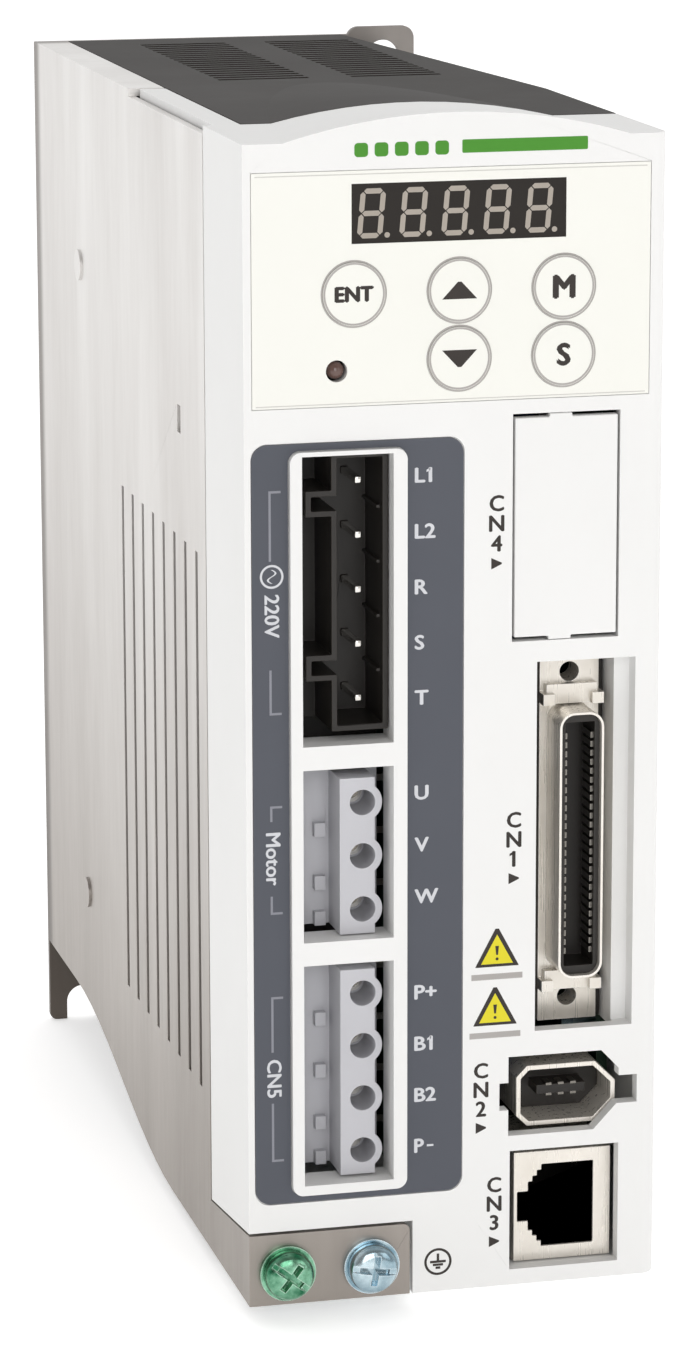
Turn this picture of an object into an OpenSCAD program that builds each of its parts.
// Narrow servo drive for a control cabinet. Drawing corner: X from the left side plate,
// Y from the front face towards the cabinet wall, Z from the bottom of the front cover.

/* [Body] */
// Width over the side plate and the housing
body_w = 59.5; // [56:0.5:84]
// Height from the bottom of the front cover to its flat shoulders
body_h = 163; // [160:1:210]
// Depth from the front face to the mounting plane
body_d = 153.5; // [146:0.5:200]
// Thickness of the folded chassis sheet
sheet_t = 1.2; // [0.8:0.1:1.8]
// Wall of the front cover
cover_t = 2.2; // [1.6:0.1:3]
// Wall of the black housing
housing_t = 2; // [1.4:0.1:3]
// Depth of the front cover's skirt
cover_d = 24.3; // [20:0.1:30]
// Width of the folded edge along the top left
flange_w = 5.4; // [4:0.1:8]
// Visible seam between cover, housing and side plate
seam = 0.7; // [0.2:0.1:0.8]

/* [Crown] */
// Rise of the curved crown above the shoulders, at the front
crown_rise = 3.5; // [1:0.1:5]
// Width of the crown at the front
crown_w = 48; // [30:1:52]
// Distance over which the crown fades out to the back
crown_run = 75; // [50:1:110]
// Drop of the cut-away right shoulder at the back
shoulder_drop = 2.8; // [0:0.1:5]
// Width of the cut-away right shoulder at the back
shoulder_w = 8.4; // [4:0.1:14]

/* [Side plate] */
// Height of the raised rear part of the bottom edge
rear_rise = 11.6; // [6:0.1:16]
// Number of long ventilation slots
side_slots = 8; // [4:1:8]
// Distance between the long slots
side_slot_pitch = 7.55; // [6:0.05:8]
// Width of a long slot
side_slot_w = 1.8; // [1.2:0.1:2.6]
// Length of a long slot
side_slot_h = 79; // [50:1:95]

/* [Wall mounting] */
// Radius of the round screw hole in the upper ear
mount_r = 2.75; // [2.2:0.05:3.2]
// How far the upper ear stands out past the right side
ear_out = 4.1; // [3:0.1:9]
// Depth of the lower ear below the bottom of the cover
lower_ear_drop = 2.4; // [1:0.1:4]

/* [Keypad] */
// Diameter of a key
key_d = 8.6; // [6:0.1:8.8]
// Distance between key columns
key_pitch_x = 14.7; // [12:0.1:16]
// Distance between key rows
key_pitch_z = 9.3; // [9.3:0.1:11]
// Travel of a key
key_travel = 0.5; // [0.2:0.1:0.8]
// Radial gap between a key and the front
key_gap = 0.3; // [0.3:0.05:0.45]
// Width of the display window
display_w = 30; // [24:0.5:36]
// Height of the display window
display_h = 8.1; // [6:0.1:9]

/* [Power terminals] */
// Distance between power poles
pole_pitch = 7.62; // [7:0.01:7.7]
// Diameter of the round openings in the motor and brake headers
pole_hole_d = 3.6; // [2.5:0.1:4]
// Width of the openings in the terminal frame
power_slot_w = 12.8; // [11.6:0.1:14]
// Depth of the collar behind the terminal frame
collar_d = 5; // [3:0.5:7]

/* [Signal sockets] */
// Distance between the jack screws of the input and output socket
jack_pitch = 47.2; // [44:0.1:50]
// Radius of a jack screw hole
jack_r = 1.4; // [1:0.05:1.6]
// Contacts in one row of the input and output socket
io_contacts = 25; // [10:1:26]
// Width of the latch opening of the network socket
latch_w = 4.4; // [3:0.1:6]

/* [Service hatch] */
// Width of the hatch
hatch_w = 14.6; // [12:0.1:16]
// Height of the hatch
hatch_h = 30.6; // [20:0.1:32]
// Gap at both sides of the hatch
hatch_gap = 0.35; // [0.3:0.05:0.6]
// Gap at the top and bottom of the hatch
hatch_end_gap = 0.6; // [0.4:0.05:1]

/* [Earth terminals] */
// Width of the front earth tab
tab_w = 23.2; // [20:0.1:28]
// Height of the front earth tab
tab_h = 10.4; // [9:0.1:12]
// Distance between the two earth screws
earth_pitch = 12.1; // [10:0.1:14]
// Radius of an earth screw's shank
earth_r = 1.95; // [1.4:0.05:2.5]
// Radial clearance of the earth screw in its thread
earth_clear = 0.05; // [0.03:0.01:0.1]

/* [Hidden] */
$fn = 64;
eps = 0.01;

// Side profile
side_top = body_h - sheet_t;
slope_front = 52;
slope_back = 128;
slope_steps = 12;
skirt_slant = 2.9;
notch_x = tab_w + 0.4;
notch_z = tab_h + 0.4;
notch_low = notch_z - skirt_slant;
side_slot_y = 31.2;
side_slot_z = 23;
snap_y = 42.3;
snap_z = 117.2;
snap_h = 4;
snap_w = 2.4;
hook_in = 0.3;
arm_end = 74.5;
arm_t = 1.6;
edge_r = 2.3;

// Upper and lower wall mounting
ear_x = body_w - 7.3;
ear_top = body_h + 1.2;
ear_low = body_h - 11;
ear_r = 2;
ear_hole_x = body_w - 1.2;
ear_hole_z = ear_top - 5;
lower_slot_x = 5.65;
lower_slot_z = 0.6;
lower_ear_w = 12.6;

// Crown surface: a cylinder that leans down to the back
crown_x = body_w / 2;
crown_radius = (pow(crown_w / 2, 2) + pow(crown_rise, 2)) / (2 * crown_rise);
crown_lean = atan(crown_rise / crown_run);

// Where the right shoulder starts to fall
shoulder_start = 60;

// Top vents of the housing
vent_w = 14;
vent_slot = 1.6;
vent_pitch = 3.2;
vent_y = 84;
vent_end = body_d - 8;
vent_x = [15.5, body_w - 23.5];

// Keypad block, measured down from the shoulders
overlay_x = 1.2;
overlay_w = body_w - 3.8;
overlay_top = body_h - 3.9;
overlay_h = 31.8;
overlay_t = 0.3;
pocket_gap = 0.12;
pad_x = body_w / 2 + 0.25;
display_top = body_h - 5.65;
key_z = body_h - 20.5;
lamp_x = pad_x - 17.1;
lamp_z = key_z - 10.4;
lamp_r = 1.25;
keys_at = [[-1, 0], [0, 0], [1, 0], [0, -1], [1, -1]];
display_board_y = 8;
display_board_z = body_h - 36;
display_board_h = 33;
display_post_x = [7, body_w - 7];
display_post_z = [key_z - key_pitch_z, body_h - 7];
board_t = 1.6;
key_stem_y = 3.6;
switch_gap = 0.3;

// Terminal frame, measured from the left edge and the bottom
frame_x = 6.2;
frame_w = power_slot_w + 3.6;
slot_x = frame_x + 1.65;
frame_z = 16;
frame_top = 121.3;
frame_out = 0.8;
frame_r = 1.5;
label_x = 1;
label_w = 29.7;
label_z = 14.9;
label_h = 107.5;
label_r = 2.2;
mains_poles = 5;
motor_poles = 3;
brake_poles = 4;
mains_z = 101.3;
motor_z = 63.95;
brake_z = 32.75;
mains_open = [80.4, 120.7];
motor_open = [52.6, 77.1];
brake_open = [17.4, 49.3];
pole_x = slot_x + 8.75;
header_y = 1.5;
header_back = 20;
header_gap = 0.2;
shroud_x = slot_x + 4.6;
shroud_wall = 0.8;
shroud_floor = 11;
key_channel_x = slot_x + 1;
key_channel_h = 3.6;
pole_rib = 0.5;
bar_w = 5;
bar_d = 6.6;
barrel_r = 2.8;
contact_depth = 6.5;
contact_r = pole_hole_d / 2 - 0.3;
contact_end = 16;
step_w = 1.6;
step_h = 2;
step_drop = 6;
step_side = 0.7;

// Signal column, measured from the right edge and the bottom
io_x = body_w - 11.5;
io_z = 63.6;
io_flange_y = 7;
io_flange_w = 8.6;
io_flange_h = jack_pitch + 6.8;
io_shell_w = 6.4;
io_shell_h = jack_pitch - 8.9;
io_shell_r = 2.2;
io_shell_front = 0.4;
io_shell_t = 0.35;
io_slot_w = 4.2;
io_collar_w = 10.2;
io_ledge_x = io_x + io_flange_w / 2 + 1;
io_ledge_y = 3;
io_pitch = (io_shell_h - 6) / io_contacts;
io_open_x = body_w - 18.2;
io_open_w = 14.2;
io_open_z = io_z - jack_pitch / 2 - 2.7;
io_open_h = jack_pitch + 5.9;
io_wall_d = 12;
encoder_x = body_w - 12.85;
encoder_z = 27;
encoder_y = 2.5;
encoder_w = 14.6;
encoder_h = 8.9;
encoder_t = 0.7;
encoder_left = 1.6;
encoder_right = 3;
encoder_tongue = 2.5;
network_x = body_w - 13.2;
network_z = 10.5;
network_y = 2.8;
network_w = 14.3;
network_h = 16.2;
network_t = 0.5;
plug_w = 7.6;
plug_h = 12.2;
plug_depth = 11.5;
plug_stairs = 4;
socket_back = 20;
hatch_x = body_w - 14.2;
hatch_z = 109.3;
hatch_t = 1.6;
hatch_tab_w = 3.2;
hatch_tab_x = hatch_x - 0.8;
hatch_fit = 0.1;
hatch_hook = 5;
service_w = 9;
service_h = 17;
service_y = 9;
service_port_h = 6.6;

// Boards and what they carry
control_board_x = body_w - 5.2;
power_board_x = 23.6;
board_front = 13;
board_back = body_d - 12;
board_low = 15;
board_top = body_h - 7;
sink_y = body_d - 61;
sink_z = 21;
sink_h = 124;
sink_base = 5;
sink_fin_h = 14;
sink_fin_t = 1.8;
sink_fins = 6;
sink_fin_pitch = 6;
screw_y = sink_y + 23.8;
screw_z = [sink_z + 8.6, sink_z + 110.4];
screw_r = 1.5;
module_w = 20;
module_h = 60;
module_t = 5.5;
cap_r = 11;
cap_l = 26;
stand_r = 2.6;
board_screw_r = 1.4;
insulator_x = 3.6;
insulator_z = 15;
insulator_t = 0.8;

// Post places of the two upright boards, as Y and Z
power_posts = [[27, 18.5], [88, 18.5], [27, board_top - 6], [88, board_top - 6]];
control_posts = [[27, 30], [board_back - 5, 20], [27, board_top - 6], [board_back - 5, board_top - 6]];

// Earth terminals
earth_z = 4.8;
earth_x = 5.4;
washer_r = 4;
washer_t = 0.8;
head_r = 3.5;
head_t = 2.4;
shank_l = 8;
nut_r = 4;
nut_t = 3.2;

// Puts the drawing corner so that the origin is the middle of the mounting face
module placed() {
    translate([-body_w / 2, -body_d, -body_h / 2])
        children();
}

// Box given by its low corner and size
module block(corner, size) {
    translate(corner)
        cube(size);
}

// Rectangle with round corners, low corner at the origin
module round_rect(w, h, r) {
    translate([r, 0])
        square([w - 2 * r, h]);
    translate([0, r])
        square([w, h - 2 * r]);
    for (x = [r, w - r], z = [r, h - r])
        translate([x, z])
            circle(r);
}

// Extrudes a front view drawing from y back over depth
module from_front(y, depth) {
    translate([0, y + depth, 0])
        rotate([90, 0, 0])
            linear_extrude(depth)
                children();
}

// Extrudes a side view drawing (Y, Z) from x to the right over width
module from_side(x, width) {
    translate([x, 0, 0])
        rotate([90, 0, 90])
            linear_extrude(width)
                children();
}

// Cylinder along Y from y back over depth
module pin_y(x, y, z, r, depth) {
    translate([x, y + depth, z])
        rotate([90, 0, 0])
            cylinder(r = r, h = depth);
}

// Cylinder along X from x to the right over width
module pin_x(x, y, z, r, width) {
    translate([x, y, z])
        rotate([0, 90, 0])
            cylinder(r = r, h = width);
}

// Bottom edge of the sides from back to front, lifted by the given height
function bottom_edge(lift) = [for (i = [slope_steps:-1:0])
    let (t = i / slope_steps)
    [slope_front + (slope_back - slope_front) * t, lift + rear_rise * (1 - cos(180 * t)) / 2]];

// Corners of a socket outline: square on neither side, with a chamfer at each side
function chamfered(w, h, left, right) = [[-w / 2, -h / 2 + left], [-w / 2, h / 2 - left],
    [-w / 2 + left, h / 2], [w / 2 - right, h / 2], [w / 2, h / 2 - right],
    [w / 2, -h / 2 + right], [w / 2 - right, -h / 2], [-w / 2 + left, -h / 2]];

// Centre of pole i of a header with the given number of poles
function pole_z(middle, poles, i) = middle + ((poles - 1) / 2 - i) * pole_pitch;

// Height of a pole header
function header_h(poles) = poles * pole_pitch - 0.6;

// Leaning cylinder whose top is the crown
module crown(y, depth, base) {
    intersection() {
        translate([crown_x, 0, body_h + crown_rise - crown_radius])
            rotate([-90 - crown_lean, 0, 0])
                cylinder(r = crown_radius, h = 4 * crown_run, center = true, $fn = 200);
        block([crown_x - crown_w / 2, y, base], [crown_w, depth, body_h + crown_rise + 1 - base]);
    }
}

// Half space above the cut-away right shoulder, lowered by a wall
module shoulder_cut(lower) {
    run = body_d - shoulder_start;
    normal = [shoulder_drop * run, shoulder_drop * shoulder_w, run * shoulder_w];
    reach = 2 * body_d;
    translate([body_w, shoulder_start, body_h])
        rotate([0, acos(normal.z / norm(normal)), atan2(normal.y, normal.x)])
            translate([-reach / 2, -reach / 2, -lower])
                cube([reach, reach, reach / 2]);
}

// Left side view of the chassis plate
module side_outline() {
    polygon(concat([[0, 0], [0, tab_h], [cover_d + seam, tab_h - skirt_slant],
        [cover_d + seam, side_top], [body_d, side_top], [body_d, rear_rise]], bottom_edge(0)));
}

// Back view of the mounting plate with its two ears
module back_outline() {
    translate([0, rear_rise])
        square([body_w, body_h - rear_rise]);
    translate([ear_x, ear_low])
        round_rect(body_w + ear_out - ear_x, ear_top - ear_low, ear_r);
    translate([0, -lower_ear_drop])
        round_rect(lower_ear_w, rear_rise + lower_ear_drop + 2 * ear_r, 1.2);
}

module chassis() {
    color("silver") placed() difference() {
        union() {
            from_side(0, sheet_t) side_outline();
            from_front(body_d - sheet_t, sheet_t) difference() {
                back_outline();
                translate([ear_hole_x, ear_hole_z])
                    circle(mount_r);
                translate([lower_slot_x, lower_slot_z])
                    circle(mount_r);
                translate([lower_slot_x - mount_r, lower_slot_z - 2 * lower_ear_w])
                    square([2 * mount_r, 2 * lower_ear_w]);
            }
            block([0, arm_end + 1.5, body_h - sheet_t],
                [flange_w, body_d - arm_end - 1.5, sheet_t]);
            // Earth tab with one round corner
            from_front(0, sheet_t) {
                round_rect(tab_w, tab_h, 1);
                square([tab_w / 2, tab_h]);
                square([tab_w, tab_h / 2]);
            }
        }
        for (i = [0:side_slots - 1])
            block([-1, side_slot_y + i * side_slot_pitch - side_slot_w / 2, side_slot_z],
                [sheet_t + 2, side_slot_w, side_slot_h]);
        block([-1, snap_y - snap_w / 2, snap_z], [sheet_t + 2, snap_w, snap_h]);
        for (z = screw_z)
            pin_x(-1, screw_y, z, screw_r, sheet_t + 2);
        for (i = [0, 1])
            pin_y(earth_x + i * earth_pitch, -1, earth_z, earth_r + 0.35, sheet_t + 2);
    }
}

module side_screws() {
    color("gainsboro") placed() for (z = screw_z) {
        pin_x(-0.4, screw_y, z, 2.4, 0.4);
        pin_x(0, screw_y, z, screw_r, sheet_t + sink_base);
    }
}

module heat_sink() {
    color("lightgray") placed() difference() {
        union() {
            block([sheet_t, sink_y, sink_z], [sink_base, body_d - 3 - sink_y, sink_h]);
            for (i = [0:sink_fins - 1])
                block([sheet_t, sink_y + 26 + i * sink_fin_pitch, sink_z],
                    [sink_base + sink_fin_h, sink_fin_t, sink_h]);
        }
        for (z = screw_z)
            pin_x(sheet_t - eps, screw_y, z, screw_r, sink_base + 1);
    }
}

// Flat semiconductor package on the heat sink, with a row of legs to the power board
module package(y, z, w, h, t, legs) {
    block([sheet_t + sink_base, y, z], [t, w, h]);
    for (i = [0:legs - 1])
        block([sheet_t + sink_base + t, y + w - 2, z + (i + 0.5) * h / legs - 0.4],
            [power_board_x - sheet_t - sink_base - t, 0.8, 0.8]);
}

module power_module() {
    color("black") placed() package(sink_y + 2, sink_z + 44, module_w, module_h, module_t, 9);
}

module rectifier() {
    color("dimgray") placed() package(sink_y + 2, sink_z + 14, module_w, 22, module_t - 1, 4);
}

// Side view of the housing, shrunk by a wall and lengthened at both open ends
module housing_side(wall, over) {
    polygon(concat([[cover_d + seam - over, wall], [cover_d + seam - over, body_h - wall],
        [body_d - sheet_t + over, body_h - wall], [body_d - sheet_t + over, rear_rise + wall]],
        bottom_edge(wall)));
}

module housing() {
    left = sheet_t + 0.15;
    rebate = arm_t + 0.2;
    color("#3e3835") placed() difference() {
        union() {
            from_side(left, body_w - left) housing_side(0, 0);
            crown(cover_d + seam, crown_run, body_h - 1);
        }
        difference() {
            from_side(-1, body_w + 1 - housing_t) housing_side(housing_t + rebate, 1);
            shoulder_cut(housing_t + rebate);
        }
        difference() {
            from_side(-1, body_w + 1 - housing_t) housing_side(housing_t, 1);
            block([-1, 0, body_h - housing_t - rebate], [2 * body_w, body_d, 2 * housing_t + rebate]);
            shoulder_cut(housing_t + rebate);
        }
        block([-1, 0, body_h - rebate], [flange_w + 0.2 + 1, body_d, rebate + 1]);
        shoulder_cut(0);
        for (x = vent_x, y = [vent_y:vent_pitch:vent_end - vent_slot])
            block([x, y, body_h - 8], [vent_w, vent_slot, 16]);
        for (x = vent_x, y = [slope_front + 4:2 * vent_pitch:slope_back - 4])
            block([x, y, -1], [vent_w, vent_slot, rear_rise + housing_t + 2]);
    }
}

// Front elevation of the cover, shrunk by a wall
module cover_front(wall, notch) {
    polygon([[wall, notch + wall], [wall, body_h - wall], [body_w - wall, body_h - wall],
        [body_w - wall, wall], [notch_x + wall, wall], [notch_x + wall, notch + wall]]);
}

// Plan of the cover with its round right edge
module cover_plan() {
    square([body_w - edge_r, cover_d]);
    translate([0, edge_r])
        square([body_w, cover_d - edge_r]);
    translate([body_w - edge_r, edge_r])
        circle(edge_r);
}

// Hollow shell of the front cover with its crown
module cover_shell() {
    difference() {
        union() {
            intersection() {
                from_front(0, cover_d) cover_front(0, notch_low);
                linear_extrude(body_h) cover_plan();
            }
            crown(0, cover_d, body_h - 1);
        }
        from_front(cover_t, cover_d) cover_front(cover_t, notch_z);
        from_side(-1, notch_x + 1)
            polygon([[-1, notch_z], [0, notch_z], [cover_d, notch_low], [-1, notch_low - 1]]);
    }
}

// Outline of the raised frame round the power terminals
module frame_outline(grow) {
    translate([frame_x - grow, frame_z - grow])
        round_rect(frame_w + 2 * grow, frame_top - frame_z + 2 * grow, frame_r + grow);
}

// Window of the encoder socket in the front cover
module encoder_window() {
    translate([encoder_x, encoder_z])
        polygon([[-9.15, 6.75], [4.45, 6.75], [7.05, 3.95], [7.05, 2.85], [9.75, 2.85],
            [9.75, -1.25], [6.75, -1.25], [3.35, -4.85], [-9.15, -4.85], [-9.15, -1.05],
            [-10.45, -1.05], [-10.45, 2.95], [-9.15, 2.95]]);
}

// Everything that is cut through the cover's front wall
module cover_windows() {
    through = collar_d + 2;
    for (open = [mains_open, motor_open, brake_open])
        block([slot_x, -2, open[0]], [power_slot_w, through + 2, open[1] - open[0]]);
    block([io_open_x, -1, io_open_z], [io_open_w, io_ledge_y + 1, io_open_h]);
    block([io_open_x, -1, io_open_z], [io_ledge_x - io_open_x, io_wall_d + 2, io_open_h]);
    from_front(-1, cover_t + 2) encoder_window();
    block([network_x - network_w / 2 - 1.4, -1, network_z - network_h / 2 - 0.1],
        [network_w + 1.7, cover_t + 2, network_h + 1.4]);
    block([hatch_x - hatch_w / 2 - hatch_gap, -1, hatch_z - hatch_h / 2 - hatch_end_gap],
        [hatch_w + 2 * hatch_gap, cover_t + 2, hatch_h + 2 * hatch_end_gap]);
    block([pad_x - display_w / 2, -1, display_top - display_h],
        [display_w, cover_t + 2, display_h]);
    for (at = keys_at)
        pin_y(pad_x + at.x * key_pitch_x, -1, key_z + at.y * key_pitch_z,
            key_d / 2 + key_gap, cover_t + 2);
    pin_y(lamp_x, -1, lamp_z, lamp_r + 0.25, cover_t + 2);
}

module front_cover() {
    color("white") placed() difference() {
        union() {
            cover_shell();
            from_front(-frame_out, frame_out + collar_d) frame_outline(0);
            // Wall and ledge on the right of the input and output socket
            block([io_ledge_x, cover_t / 2, io_open_z - 1],
                [body_w - cover_t / 2 - io_ledge_x, io_wall_d - cover_t / 2, io_open_h + 2]);
            // Long arm over the top edge of the side plate
            block([sheet_t + 0.25, cover_d - 6, body_h - arm_t],
                [flange_w - sheet_t - 0.35, arm_end - cover_d + 6, arm_t]);
            // Hook that catches the side plate
            block([sheet_t + 0.3, cover_d - 6, snap_z + 0.4],
                [1.5, snap_y + snap_w / 2 - cover_d + 5.5, snap_h - 0.8]);
            block([sheet_t - hook_in, snap_y - snap_w / 2 + 0.4, snap_z + 0.4],
                [hook_in + 1, snap_w - 0.8, snap_h - 0.8]);
            // Posts of the display board
            for (x = display_post_x, z = display_post_z)
                pin_y(x, cover_t / 2, z, 2, display_board_y - cover_t / 2);
        }
        cover_windows();
        translate([overlay_x - pocket_gap, -1, overlay_top - overlay_h - pocket_gap])
            cube([overlay_w + 2 * pocket_gap, 1 + overlay_t, overlay_h + 2 * pocket_gap]);
        from_front(-1, 1 + overlay_t) difference() {
            translate([label_x - pocket_gap, label_z - pocket_gap])
                round_rect(label_w + 2 * pocket_gap, label_h + 2 * pocket_gap, label_r);
            frame_outline(0);
        }
    }
}

module keypad_overlay() {
    color("ivory") placed() from_front(0, overlay_t) difference() {
        translate([overlay_x, overlay_top - overlay_h])
            square([overlay_w, overlay_h]);
        translate([pad_x - display_w / 2, display_top - display_h])
            square([display_w, display_h]);
        for (at = keys_at)
            translate([pad_x + at.x * key_pitch_x, key_z + at.y * key_pitch_z])
                circle(key_d / 2 + key_gap);
        translate([lamp_x, lamp_z])
            circle(lamp_r + 0.25);
    }
}

module terminal_label() {
    color("slategray") placed() from_front(0, overlay_t) difference() {
        translate([label_x, label_z])
            round_rect(label_w, label_h, label_r);
        frame_outline(pocket_gap);
    }
}

module display_window() {
    color("#37322f") placed()
        block([pad_x - display_w / 2, 0.15, display_top - display_h], [display_w, 0.9, display_h]);
}

module led_display() {
    color("dimgray") placed()
        block([pad_x - display_w / 2 + 0.2, 1.05, display_top - display_h + 0.2],
            [display_w - 0.4, display_board_y - 1.05, display_h - 0.4]);
}

module charge_lamp() {
    color("#8a6f6a") placed() {
        translate([lamp_x, lamp_r, lamp_z])
            sphere(lamp_r);
        pin_y(lamp_x, lamp_r, lamp_z, lamp_r, display_board_y - lamp_r);
    }
}

module display_board() {
    color("seagreen") placed() difference() {
        block([cover_t + 1.5, display_board_y, display_board_z],
            [body_w - 2 * cover_t - 3, board_t, display_board_h]);
        for (x = display_post_x, z = display_post_z)
            pin_y(x, display_board_y - 1, z, board_screw_r, board_t + 2);
    }
}

module key_switches() {
    color("black") placed() for (at = keys_at) {
        x = pad_x + at.x * key_pitch_x;
        z = key_z + at.y * key_pitch_z;
        plunger = key_stem_y + key_travel + switch_gap;
        pin_y(x, plunger, z, 1.2, display_board_y - plunger);
        block([x - 3, plunger + 0.8, z - 3], [6, display_board_y - plunger - 0.8, 6]);
    }
}

// One key: a round cap, wings behind the front wall and a short stem
module key_cap(at) {
    x = pad_x + at.x * key_pitch_x;
    z = key_z + at.y * key_pitch_z;
    wing = cover_t + 0.3;
    color("ivory") placed() {
        pin_y(x, -0.2, z, key_d / 2, wing + 0.2);
        block([x - key_d / 2 - 1.4, wing, z - 2], [key_d + 2.8, 0.8, 4]);
        pin_y(x, wing, z, 1.5, key_stem_y - wing);
    }
}

module key_enter() { key_cap(keys_at[0]); }
module key_up() { key_cap(keys_at[1]); }
module key_mode() { key_cap(keys_at[2]); }
module key_down() { key_cap(keys_at[3]); }
module key_set() { key_cap(keys_at[4]); }

module service_hatch() {
    tab_out = hatch_end_gap - hatch_fit;
    color("white") placed() {
        block([hatch_x - hatch_w / 2, 0, hatch_z - hatch_h / 2], [hatch_w, hatch_t, hatch_h]);
        block([hatch_tab_x - hatch_tab_w / 2, 0, hatch_z - hatch_h / 2 - tab_out],
            [hatch_tab_w, hatch_t, hatch_h + 2 * tab_out]);
        // Hooks that snap behind the front wall
        for (side = [-1, 1])
            block([hatch_tab_x - hatch_tab_w / 2, hatch_t / 2, hatch_z + side * (hatch_h / 2 - 0.8) - 0.5],
                [hatch_tab_w, hatch_hook, 1]);
    }
}

module service_socket() {
    left = hatch_x - service_w / 2;
    low = hatch_z - service_h / 2;
    color("silver") placed() difference() {
        block([left, service_y, low], [control_board_x - left, socket_back - service_y, service_h]);
        for (z = [low + 1, hatch_z + 0.9])
            block([left + 1, service_y - 1, z], [service_w - 2, 8, service_port_h]);
    }
}

// Angled pin of one mains pole
module mains_pin(z) {
    block([pole_x - 0.5, 3, z - 0.5], [1, 14, 1]);
    block([pole_x - 0.5, 16, z - 0.5], [power_board_x - pole_x + 0.5, 1, 1]);
}

module mains_header() {
    h = mains_poles * pole_pitch + 0.7;
    low = mains_z - h / 2;
    right = slot_x + power_slot_w - header_gap;
    channels = [mains_z + 1.63 * pole_pitch, mains_z - 1.37 * pole_pitch];
    color("#26221e") placed() difference() {
        union() {
            block([shroud_x, header_y, low], [right - shroud_x, header_back - header_y, h]);
            block([slot_x + header_gap, shroud_floor, low],
                [shroud_x - slot_x, header_back - shroud_floor, h]);
            for (z = channels)
                block([key_channel_x, header_y, z - key_channel_h / 2],
                    [shroud_x - key_channel_x + 0.1, shroud_floor - header_y + 0.1, key_channel_h]);
        }
        difference() {
            block([shroud_x + shroud_wall, header_y - 1, low + shroud_wall],
                [right - shroud_x - 2 * shroud_wall, shroud_floor - header_y + 1, h - 2 * shroud_wall]);
            // Ribs between the poles
            for (i = [0:mains_poles - 2])
                block([right - shroud_wall - pole_rib, header_y + 1.5,
                    pole_z(mains_z, mains_poles, i) - (pole_pitch + pole_rib) / 2],
                    [2 * pole_rib, shroud_floor, pole_rib]);
        }
        for (z = channels)
            block([key_channel_x + shroud_wall, header_y - 1, z - key_channel_h / 2 + shroud_wall],
                [shroud_x - key_channel_x + 0.2, shroud_floor - header_y + 1,
                key_channel_h - 2 * shroud_wall]);
        for (i = [0:mains_poles - 1])
            mains_pin(pole_z(mains_z, mains_poles, i));
    }
}

module mains_pins() {
    color("gold") placed() for (i = [0:mains_poles - 1])
        mains_pin(pole_z(mains_z, mains_poles, i));
}

// Leg that joins a sleeve contact to the power board
module contact_leg(z) {
    block([pole_x, 15, z - 0.5], [power_board_x - pole_x, 1, 1]);
}

// Plug-in header with round openings in a raised bar
module pole_header(middle, poles) {
    h = header_h(poles);
    low = middle - h / 2;
    hole_x = pole_x + 0.2;
    block_y = header_y + bar_d;
    difference() {
        union() {
            block([hole_x - 3.25, header_y, low], [bar_w, header_back - header_y, h]);
            block([slot_x + header_gap, block_y, low],
                [power_slot_w - 2 * header_gap, header_back - block_y, h]);
            for (i = [0:poles - 1]) {
                pin_y(hole_x, header_y, pole_z(middle, poles, i), barrel_r, bar_d + 1);
                block([hole_x - 3.25 - step_side - step_w, block_y - 1.2,
                    max(low, pole_z(middle, poles, i) - step_drop)], [step_w, 1.3, step_h]);
            }
        }
        for (i = [0:poles - 1]) {
            pin_y(hole_x, header_y - 1, pole_z(middle, poles, i), pole_hole_d / 2, contact_depth + 1);
            pin_y(hole_x, header_y, pole_z(middle, poles, i), contact_r, contact_end - header_y);
            contact_leg(pole_z(middle, poles, i));
        }
    }
}

// Sleeve contacts inside a header
module pole_contacts(middle, poles) {
    hole_x = pole_x + 0.2;
    front = header_y + contact_depth;
    for (i = [0:poles - 1])
        difference() {
            union() {
                pin_y(hole_x, front, pole_z(middle, poles, i), contact_r, contact_end - front);
                contact_leg(pole_z(middle, poles, i));
            }
            pin_y(hole_x, front - 1, pole_z(middle, poles, i), contact_r - 0.5, 6);
        }
}

module motor_header() { color("#c8c8cd") placed() pole_header(motor_z, motor_poles); }
module motor_contacts() { color("goldenrod") placed() pole_contacts(motor_z, motor_poles); }
module brake_header() { color("#c8c8cd") placed() pole_header(brake_z, brake_poles); }
module brake_contacts() { color("goldenrod") placed() pole_contacts(brake_z, brake_poles); }

// Front view of the input and output socket's shell, shrunk by a wall
module io_outline(wall) {
    translate([io_x - io_shell_w / 2 + wall, io_z - io_shell_h / 2 + wall])
        round_rect(io_shell_w - 2 * wall, io_shell_h - 2 * wall, io_shell_r - wall);
}

module io_socket_shell() {
    jacks = [io_z - jack_pitch / 2, io_z + jack_pitch / 2];
    color("#c9bfae") placed() difference() {
        union() {
            from_front(io_flange_y, 0.8)
                translate([io_x - io_flange_w / 2, io_z - io_flange_h / 2])
                    square([io_flange_w, io_flange_h]);
            from_front(io_shell_front, io_flange_y - io_shell_front + 0.4) io_outline(0);
            for (z = jacks)
                pin_y(io_x, io_flange_y, z, jack_r + 1, 5);
            // Folded clips at both ends of the shell
            for (side = [-1, 1])
                translate([io_x, io_flange_y, io_z + side * (io_shell_h / 2 + 1.6)]) {
                    translate([-io_flange_w / 2 + 0.6, -1.4, -1.4])
                        cube([io_flange_w - 1.2, 1.5, 2.8]);
                    for (x = [-io_flange_w / 2 - 0.1, io_flange_w / 2 - 1.6])
                        translate([x, -2.4, -1.4])
                            cube([1.7, 2.5, 1.6]);
                }
        }
        from_front(0, io_flange_y + 1) io_outline(io_shell_t);
        for (z = jacks)
            pin_y(io_x, -1, z, jack_r, io_flange_y + 7);
    }
}

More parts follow.
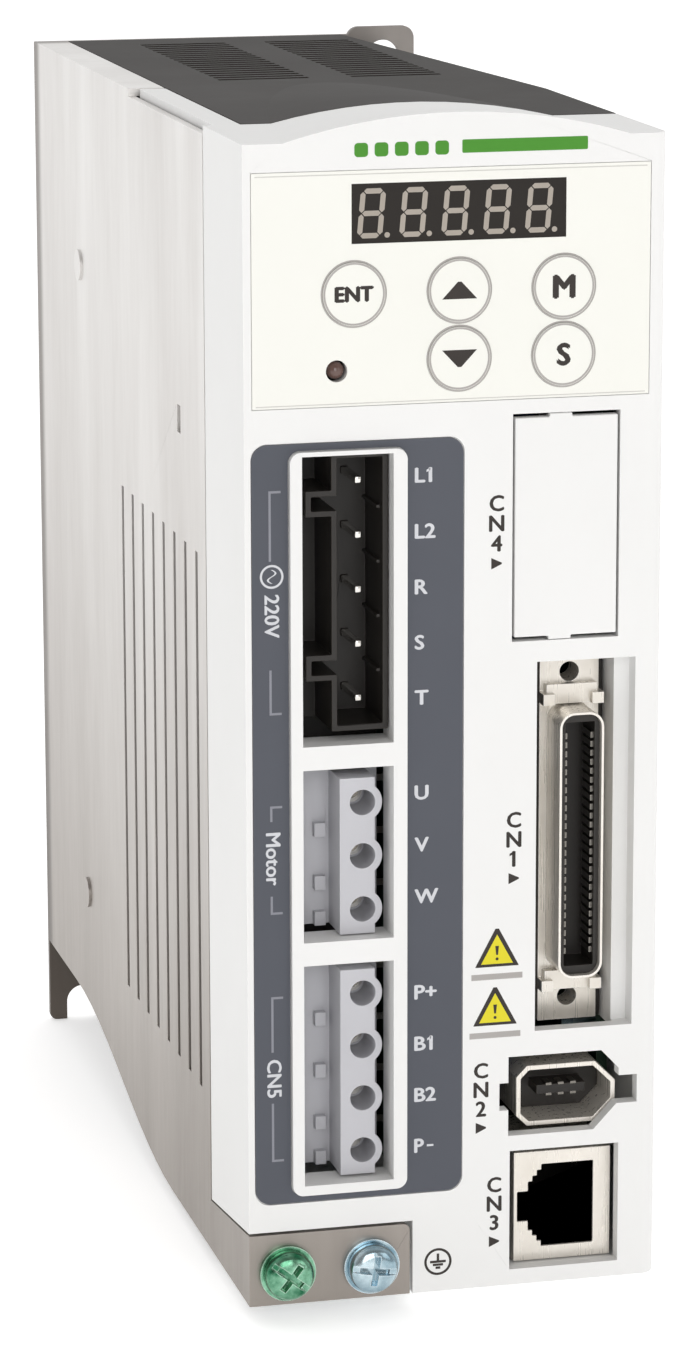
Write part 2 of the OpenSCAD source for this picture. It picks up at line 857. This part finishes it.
module io_socket_insert() {
    color("#262321") placed() difference() {
        union() {
            from_front(io_shell_front + 1, io_flange_y + 0.8 - io_shell_front) io_outline(io_shell_t);
            block([io_x - 3.6, io_wall_d + 0.4, io_z - io_shell_h / 2],
                [control_board_x - io_x + 3.6, socket_back - io_wall_d - 0.4, io_shell_h]);
            // Black collar behind the flange
            difference() {
                block([io_x - io_collar_w / 2, io_flange_y + 0.8, io_z - io_flange_h / 2],
                    [io_collar_w, board_front - 0.3 - io_flange_y - 0.8, io_flange_h]);
                for (side = [-1, 1])
                    pin_y(io_x, io_flange_y, io_z + side * jack_pitch / 2, jack_r + 1, 7);
            }
        }
        block([io_x - io_slot_w / 2, 0, io_z - io_shell_h / 2 + 1.6],
            [io_slot_w, io_flange_y, io_shell_h - 3.2]);
    }
}

module io_socket_contacts() {
    color("gold") placed() for (i = [0:io_contacts - 1], side = [0, 1])
        block([io_x - io_slot_w / 2 + side * (io_slot_w - 0.4), io_shell_front + 1.6,
            io_z + (i - (io_contacts - 1) / 2) * io_pitch - 0.4], [0.4, 4, 0.8]);
}

// Front view of the inside of the encoder socket's ring
module encoder_inside() {
    inner = 0.59 * encoder_t;
    polygon(chamfered(encoder_w - 2 * encoder_t, encoder_h - 2 * encoder_t,
        encoder_left - inner, encoder_right - inner));
}

module encoder_socket_shell() {
    color("silver") placed() from_front(encoder_y, socket_back - encoder_y)
        translate([encoder_x, encoder_z])
            difference() {
                polygon(chamfered(encoder_w, encoder_h, encoder_left, encoder_right));
                encoder_inside();
            }
}

module encoder_socket_insert() {
    floor_y = encoder_y + 6.5;
    color("#262321") placed() {
        from_front(floor_y, socket_back - floor_y)
            translate([encoder_x, encoder_z])
                encoder_inside();
        block([encoder_x - 3.6, encoder_y + encoder_tongue, encoder_z - 0.7],
            [7.2, floor_y - encoder_y - encoder_tongue + 0.5, 1.4]);
    }
}

// Front view of the plug cavity of the network socket
module plug_cavity() {
    half = plug_h / 2;
    // Stairs from the latch opening out to the full height
    start = latch_w / 2 + 0.6;
    rise = (half - start) / plug_stairs;
    stairs = [for (i = [0:plug_stairs - 1], step = [0, 1])
        [-5 + i * 0.65, start + (i + step) * rise]];
    upper = concat([[-6.6, 0], [-6.6, latch_w / 2], [-5, latch_w / 2]], stairs, [[plug_w / 2 + 0.8, half]]);
    translate([network_x, network_z])
        for (side = [-1, 1])
            scale([1, side])
                polygon(concat(upper, [[plug_w / 2 + 0.8, 0]]));
}

// Inside of the network socket's shell, a front wall behind its face
module network_body() {
    block([network_x - network_w / 2 + network_t, network_y + network_t,
        network_z - network_h / 2 + network_t],
        [network_w - 2 * network_t, socket_back - network_y - network_t, network_h - 2 * network_t]);
}

module network_socket_shell() {
    color("silver") placed() difference() {
        block([network_x - network_w / 2, network_y, network_z - network_h / 2],
            [network_w, socket_back - network_y, network_h]);
        network_body();
        from_front(network_y - 1, 2) plug_cavity();
    }
}

module network_socket_insert() {
    color("#26221e") placed() difference() {
        network_body();
        from_front(network_y - 1, plug_depth + 1) plug_cavity();
    }
}

module network_socket_contacts() {
    color("gold") placed() for (i = [0:7])
        block([network_x + plug_w / 2 + 0.1, network_y + 1.5, network_z + (i - 3.5) * 1.02 - 0.25],
            [0.7, 8, 0.5]);
}

// Black sheet between the power headers and the space behind them
module insulating_sheet() {
    color("#201d1b") placed()
        block([insulator_x, header_back, insulator_z],
            [power_board_x - 0.2 - insulator_x, insulator_t, mains_open[1] + 8 - insulator_z]);
}

module control_board() {
    color("seagreen") placed() difference() {
        from_side(control_board_x, board_t)
            polygon([[board_front, 3.2], [slope_front - 4, 3.2], [slope_front + 4, board_low],
                [board_back, board_low], [board_back, board_top], [board_front, board_top]]);
        for (at = control_posts)
            pin_x(control_board_x - 1, at.x, at.y, board_screw_r, board_t + 2);
    }
}

module processor() {
    color("black") placed()
        block([control_board_x - 1.4, 60, 74], [1.4, 20, 20]);
}

module power_board() {
    color("seagreen") placed() difference() {
        block([power_board_x, board_front, board_low],
            [board_t, board_back - board_front, board_top - board_low]);
        for (at = power_posts)
            pin_x(power_board_x - 1, at.x, at.y, board_screw_r, board_t + 2);
    }
}

module bus_capacitors() {
    color("#24304a") placed() for (z = [92, 118])
        pin_x(power_board_x + board_t, 46, z, cap_r, cap_l);
}

module transformer() {
    color("#b08a3a") placed() {
        block([power_board_x + board_t, 74, 100], [18, 28, 12]);
        block([power_board_x + board_t, 80, 92], [14, 16, 28]);
    }
}

module choke() {
    color("#8c4a2a") placed()
        translate([power_board_x + board_t + 5, 44, 60])
            rotate([0, 90, 0])
                rotate_extrude()
                    translate([9.5, 0])
                        circle(5);
}

module relay() {
    color("#2b4f7a") placed()
        block([power_board_x + board_t, 34, 20], [15, 13, 25]);
}

module brake_resistor() {
    color("whitesmoke") placed()
        block([power_board_x + board_t, 84, 28], [12, 44, 12]);
}

module board_link() {
    color("#d9d4c8") placed()
        block([power_board_x + board_t, 112, 60],
            [control_board_x - power_board_x - board_t, 6, 32]);
}

module display_cable() {
    strip = 0.6;
    z = body_h - 32;
    color("gainsboro") placed() {
        block([control_board_x - 9, display_board_y + board_t, z], [strip, 9, 12]);
        block([control_board_x - 9, display_board_y + board_t + 8.4, z], [9, strip, 12]);
    }
}

module standoffs() {
    color("gold") placed() {
        for (at = power_posts)
            difference() {
                pin_x(sheet_t, at.x, at.y, stand_r, power_board_x - sheet_t);
                pin_x(power_board_x - 6, at.x, at.y, board_screw_r, 7);
            }
        for (at = control_posts)
            pin_x(control_board_x + board_t, at.x, at.y, stand_r,
                body_w - housing_t - control_board_x - board_t);
    }
}

module board_screws() {
    color("silver") placed() {
        for (at = power_posts) {
            pin_x(power_board_x - 5, at.x, at.y, board_screw_r, 5 + board_t);
            pin_x(power_board_x + board_t, at.x, at.y, stand_r, 1.8);
        }
        for (at = control_posts) {
            pin_x(control_board_x, at.x, at.y, board_screw_r, board_t);
            pin_x(control_board_x - 1.8, at.x, at.y, stand_r, 1.8);
        }
        for (x = display_post_x, z = display_post_z) {
            pin_y(x, display_board_y, z, board_screw_r, board_t);
            pin_y(x, display_board_y + board_t, z, stand_r, 1.6);
        }
    }
}

module earth_nuts() {
    color("silver") placed() for (i = [0, 1])
        difference() {
            translate([earth_x + i * earth_pitch, sheet_t + nut_t, earth_z])
                rotate([90, 0, 0])
                    cylinder(r = nut_r, h = nut_t, $fn = 6);
            pin_y(earth_x + i * earth_pitch, 0, earth_z, earth_r + earth_clear, nut_t + 3);
        }
}

// Plain washer under an earth screw's head
module earth_washer(i) {
    placed() difference() {
        pin_y(earth_x + i * earth_pitch, -eps - washer_t, earth_z, washer_r, washer_t);
        pin_y(earth_x + i * earth_pitch, -2, earth_z, earth_r + earth_clear, 3);
    }
}

// Pan head screw with a cross recess
module earth_screw(i) {
    head_y = -2 * eps - washer_t - head_t;
    placed() translate([earth_x + i * earth_pitch, head_y, earth_z]) difference() {
        union() {
            pin_y(0, 0.7, 0, head_r, head_t - 0.7);
            pin_y(0, 0, 0, head_r - 0.8, 1);
            pin_y(0, 0.3, 0, head_r - 0.3, 1);
            pin_y(0, head_t - 0.1, 0, earth_r, shank_l);
        }
        for (turn = [0, 90])
            rotate([0, turn + 20, 0])
                translate([-2.3, -1, -0.5])
                    cube([4.6, 2.4, 1]);
    }
}

module earth_washer_left() { color("#7fae93") earth_washer(0); }
module earth_screw_left() { color("#7fae93") earth_screw(0); }
module earth_washer_right() { color("#a9c2c8") earth_washer(1); }
module earth_screw_right() { color("#a9c2c8") earth_screw(1); }

chassis();
side_screws();
heat_sink();
power_module();
rectifier();
housing();
front_cover();
keypad_overlay();
terminal_label();
display_window();
led_display();
charge_lamp();
display_board();
key_switches();
key_enter();
key_up();
key_mode();
key_down();
key_set();
service_hatch();
service_socket();
mains_header();
mains_pins();
motor_header();
motor_contacts();
brake_header();
brake_contacts();
io_socket_shell();
io_socket_insert();
io_socket_contacts();
encoder_socket_shell();
encoder_socket_insert();
network_socket_shell();
network_socket_insert();
network_socket_contacts();
insulating_sheet();
control_board();
processor();
power_board();
bus_capacitors();
transformer();
choke();
relay();
brake_resistor();
board_link();
display_cable();
standoffs();
board_screws();
earth_nuts();
earth_washer_left();
earth_screw_left();
earth_washer_right();
earth_screw_right();
